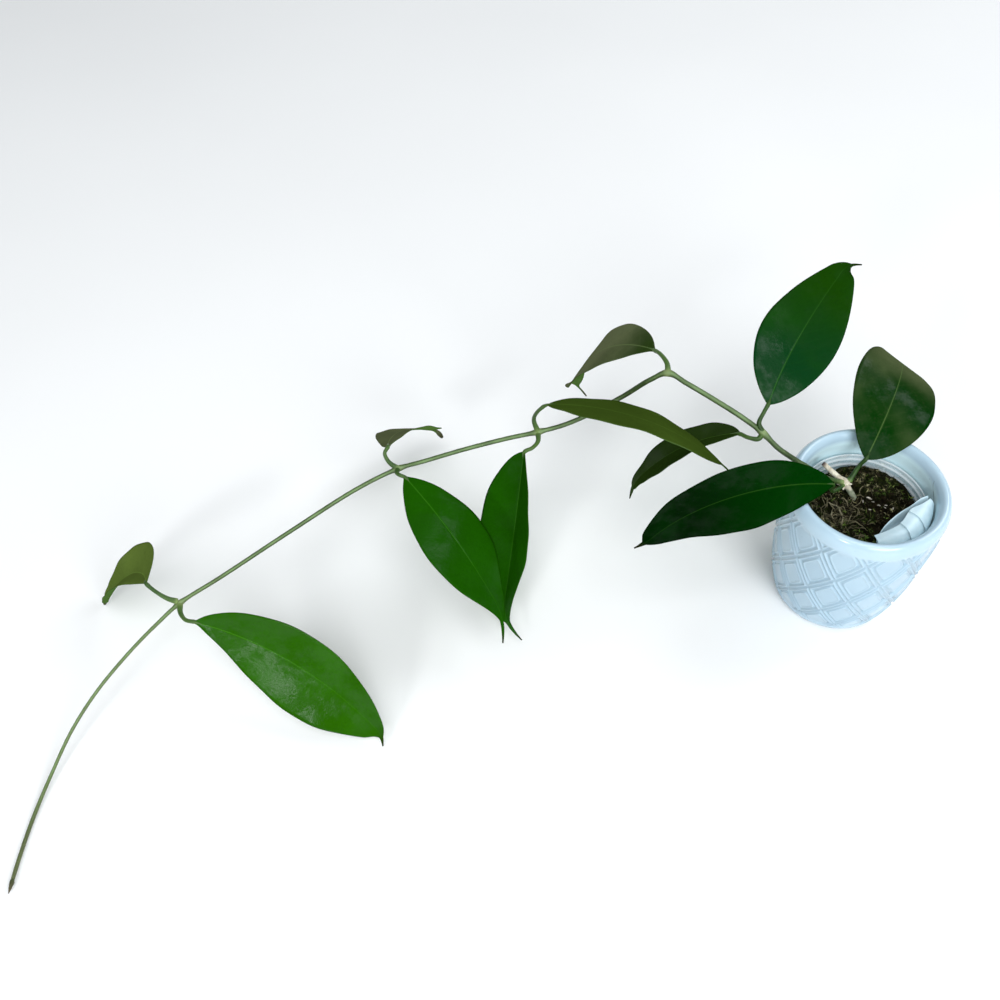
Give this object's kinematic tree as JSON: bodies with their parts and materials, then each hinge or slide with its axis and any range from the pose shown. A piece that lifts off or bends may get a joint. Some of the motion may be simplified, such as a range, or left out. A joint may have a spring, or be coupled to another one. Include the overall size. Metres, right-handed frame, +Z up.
{
  "type": "potted hoya plant",
  "caption": "Potted hoya: a glazed pot with an embossed diamond lattice, mossy soil in a clear inner cup, and one vine trailing over the rim with waxy pointed leaves.",
  "frame": {"origin": "centre of the pot's flat base, on the surface it stands on", "axes": "+Z up; the vine trails towards -X, which is the longest extent; +Y points to the back, away from the picture's viewer"},
  "size_m": [0.566, 0.3356, 0.1668],
  "materials": {
    "glazed_pot": "gloss glaze over an embossed lattice",
    "clear_cup": "clear, thin",
    "potting_mix": "rough, moist",
    "moss": "rough, fibrous",
    "label": "satin",
    "bark": "rough",
    "stem": "satin",
    "bud": "satin",
    "leaf": "waxy satin"
  },
  "bodies": {
    "root": {"pot": "glazed_pot", "inner_cup": "clear_cup", "soil": "potting_mix", "moss": "moss", "label_strip": "label", "cutting": "bark", "vine": "stem", "tip_bud": "bud", "leaf_crown_right": "leaf", "leaf_crown_left": "leaf", "leaf_rim_upper": "leaf", "leaf_rim_lower": "leaf", "leaf_arch_top": "leaf", "leaf_bend_upper": "leaf", "leaf_bend_lower": "leaf", "leaf_middle_front": "leaf", "leaf_middle_back": "leaf", "leaf_outer_front": "leaf", "leaf_outer_back": "leaf"}
  },
  "joints": []
}
